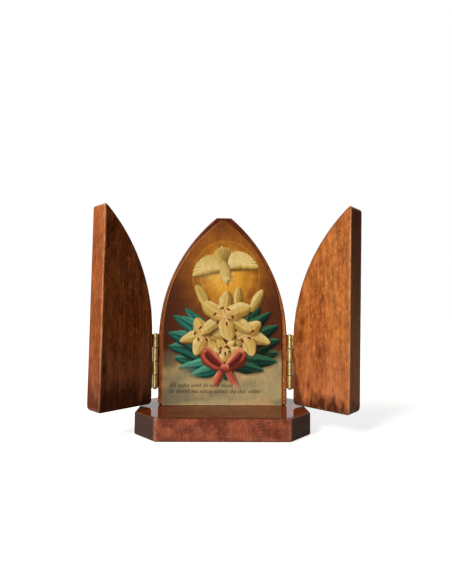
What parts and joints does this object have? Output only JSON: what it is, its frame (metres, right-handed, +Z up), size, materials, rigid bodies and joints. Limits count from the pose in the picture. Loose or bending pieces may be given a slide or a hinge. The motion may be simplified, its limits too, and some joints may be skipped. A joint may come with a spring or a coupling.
{
  "type": "triptych altarpiece",
  "caption": "Small wooden triptych shrine: an eight-sided base carries a lancet panel with a picture, and half-lancet wings fold over it on brass hinges.",
  "frame": {"origin": "middle of the base's underside, below the front face of the centre panel", "axes": "+Z up, +X to the right of someone facing the picture, -Y towards them"},
  "size_m": [0.1191, 0.053, 0.1003],
  "materials": {
    "stained_wood": "red-brown stained hardwood under a glossy varnish, paler where the edges are worn",
    "printed_paper": "colour print on paper, pasted down and varnished",
    "hinge_brass": "pressed brass, bright on the barrel and dull in the corners"
  },
  "bodies": {
    "stand": {"base": "stained_wood", "centre_panel": "stained_wood", "picture_print": "printed_paper", "left_panel_leaf": "hinge_brass", "left_hinge_pin": "hinge_brass", "left_panel_screw_1": "hinge_brass", "left_panel_screw_2": "hinge_brass", "right_panel_leaf": "hinge_brass", "right_hinge_pin": "hinge_brass", "right_panel_screw_1": "hinge_brass", "right_panel_screw_2": "hinge_brass"},
    "left_wing": {"left_wing": "stained_wood", "left_wing_leaf": "hinge_brass", "left_wing_screw_1": "hinge_brass", "left_wing_screw_2": "hinge_brass"},
    "right_wing": {"right_wing": "stained_wood", "right_wing_leaf": "hinge_brass", "right_wing_screw_1": "hinge_brass", "right_wing_screw_2": "hinge_brass"}
  },
  "joints": [
    {"name": "left_hinge", "type": "hinge", "parent": "stand", "child": "left_wing", "pos_m": [-0.0318, -0.00045, 0.0306], "axis": [0, 0, 1], "range_deg": [-52.5, 127.5]},
    {"name": "right_hinge", "type": "hinge", "parent": "stand", "child": "right_wing", "pos_m": [0.0318, -0.00045, 0.0306], "axis": [0, 0, -1], "range_deg": [-47, 133]}
  ]
}
